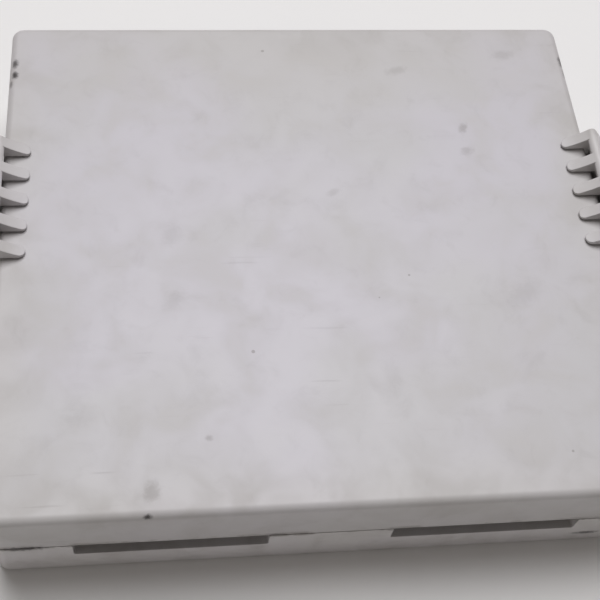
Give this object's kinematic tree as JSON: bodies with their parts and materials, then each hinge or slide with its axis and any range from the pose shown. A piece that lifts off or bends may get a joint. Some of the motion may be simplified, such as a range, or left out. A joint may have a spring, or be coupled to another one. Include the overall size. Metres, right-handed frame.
{
  "type": "fiber termination box",
  "caption": "Flat rectangular fibre termination box: a lift-off cover held by ribbed side latches over a base with front cable slots, a splice tray and capped SC ports at the back.",
  "frame": {"origin": "middle of the case's underside, on the face that rests on the wall or desk", "axes": "+Z out of the wall face through the cover, +X along the long side to the right as seen from the cable slots, +Y from the cable slots to the ports"},
  "size_m": [0.1334, 0.1232, 0.0291],
  "materials": {
    "case_plastic": "fine moulded texture, lightly soiled",
    "cover_plastic": "fine moulded texture, lightly soiled",
    "latch_plastic": "fine moulded texture",
    "inner_plastic": "smooth moulded",
    "clamp_plastic": "smooth moulded",
    "adapter_blue": "smooth moulded",
    "cap_plastic": "satin soft plastic",
    "plug_blue": "smooth moulded",
    "boot_plastic": "soft satin",
    "fiber_jacket": "extruded 0.9 mm buffer",
    "holder_rubber": "soft",
    "sleeve_film": "clear shrink film",
    "ceramic": "polished zirconia",
    "steel": "zinc plated",
    "spring_steel": "stamped and polished"
  },
  "bodies": {
    "base": {"base": "case_plastic", "adapter_1": "adapter_blue", "adapter_2": "adapter_blue", "adapter_3": "adapter_blue", "adapter_4": "adapter_blue", "adapter_sleeves": "ceramic", "adapter_clips": "spring_steel", "adapter_retainer": "inner_plastic", "retainer_screw": "steel", "pigtail_plug_1": "plug_blue", "pigtail_plug_2": "plug_blue", "pigtail_plug_3": "plug_blue", "pigtail_plug_4": "plug_blue", "plug_boots": "boot_plastic", "plug_ferrules": "ceramic", "pigtail_fiber_1": "fiber_jacket", "pigtail_fiber_2": "fiber_jacket", "pigtail_fiber_3": "fiber_jacket", "pigtail_fiber_4": "fiber_jacket", "splice_tray": "inner_plastic", "tray_screws": "steel", "splice_holder": "holder_rubber", "splice_sleeves": "sleeve_film", "sleeve_rods": "steel", "cable_clamp_left": "clamp_plastic", "cable_clamp_right": "clamp_plastic", "clamp_screws": "steel"},
    "cover": {"cover": "cover_plastic", "latch_pin_left": "steel", "latch_pin_right": "steel", "latch_spring_left": "spring_steel", "latch_spring_right": "spring_steel"},
    "latch_left": {"latch_left": "latch_plastic"},
    "latch_right": {"latch_right": "latch_plastic"},
    "port_cap_1": {"port_cap_1": "cap_plastic"},
    "port_cap_2": {"port_cap_2": "cap_plastic"},
    "port_cap_3": {"port_cap_3": "cap_plastic"},
    "port_cap_4": {"port_cap_4": "cap_plastic"}
  },
  "joints": [
    {"name": "cover_lift", "type": "slide", "parent": "base", "child": "cover", "axis": [0, 0, 1], "range_m": [0, 0.06]},
    {"name": "latch_press_left", "type": "hinge", "parent": "cover", "child": "latch_left", "pos_m": [-0.0623, 0.0093, 0.0194], "axis": [0, 1, 0], "range_deg": [-1.5, 2.2], "stiffness_Nm_per_rad": 0.3},
    {"name": "latch_press_right", "type": "hinge", "parent": "cover", "child": "latch_right", "pos_m": [0.0623, 0.0093, 0.0194], "axis": [0, -1, 0], "range_deg": [-1.5, 2.2], "stiffness_Nm_per_rad": 0.3},
    {"name": "port_cap_1_pull", "type": "slide", "parent": "base", "child": "port_cap_1", "axis": [0, 1, 0], "range_m": [0, 0.016]},
    {"name": "port_cap_2_pull", "type": "slide", "parent": "base", "child": "port_cap_2", "axis": [0, 1, 0], "range_m": [0, 0.016]},
    {"name": "port_cap_3_pull", "type": "slide", "parent": "base", "child": "port_cap_3", "axis": [0, 1, 0], "range_m": [0, 0.016]},
    {"name": "port_cap_4_pull", "type": "slide", "parent": "base", "child": "port_cap_4", "axis": [0, 1, 0], "range_m": [0, 0.016]}
  ]
}
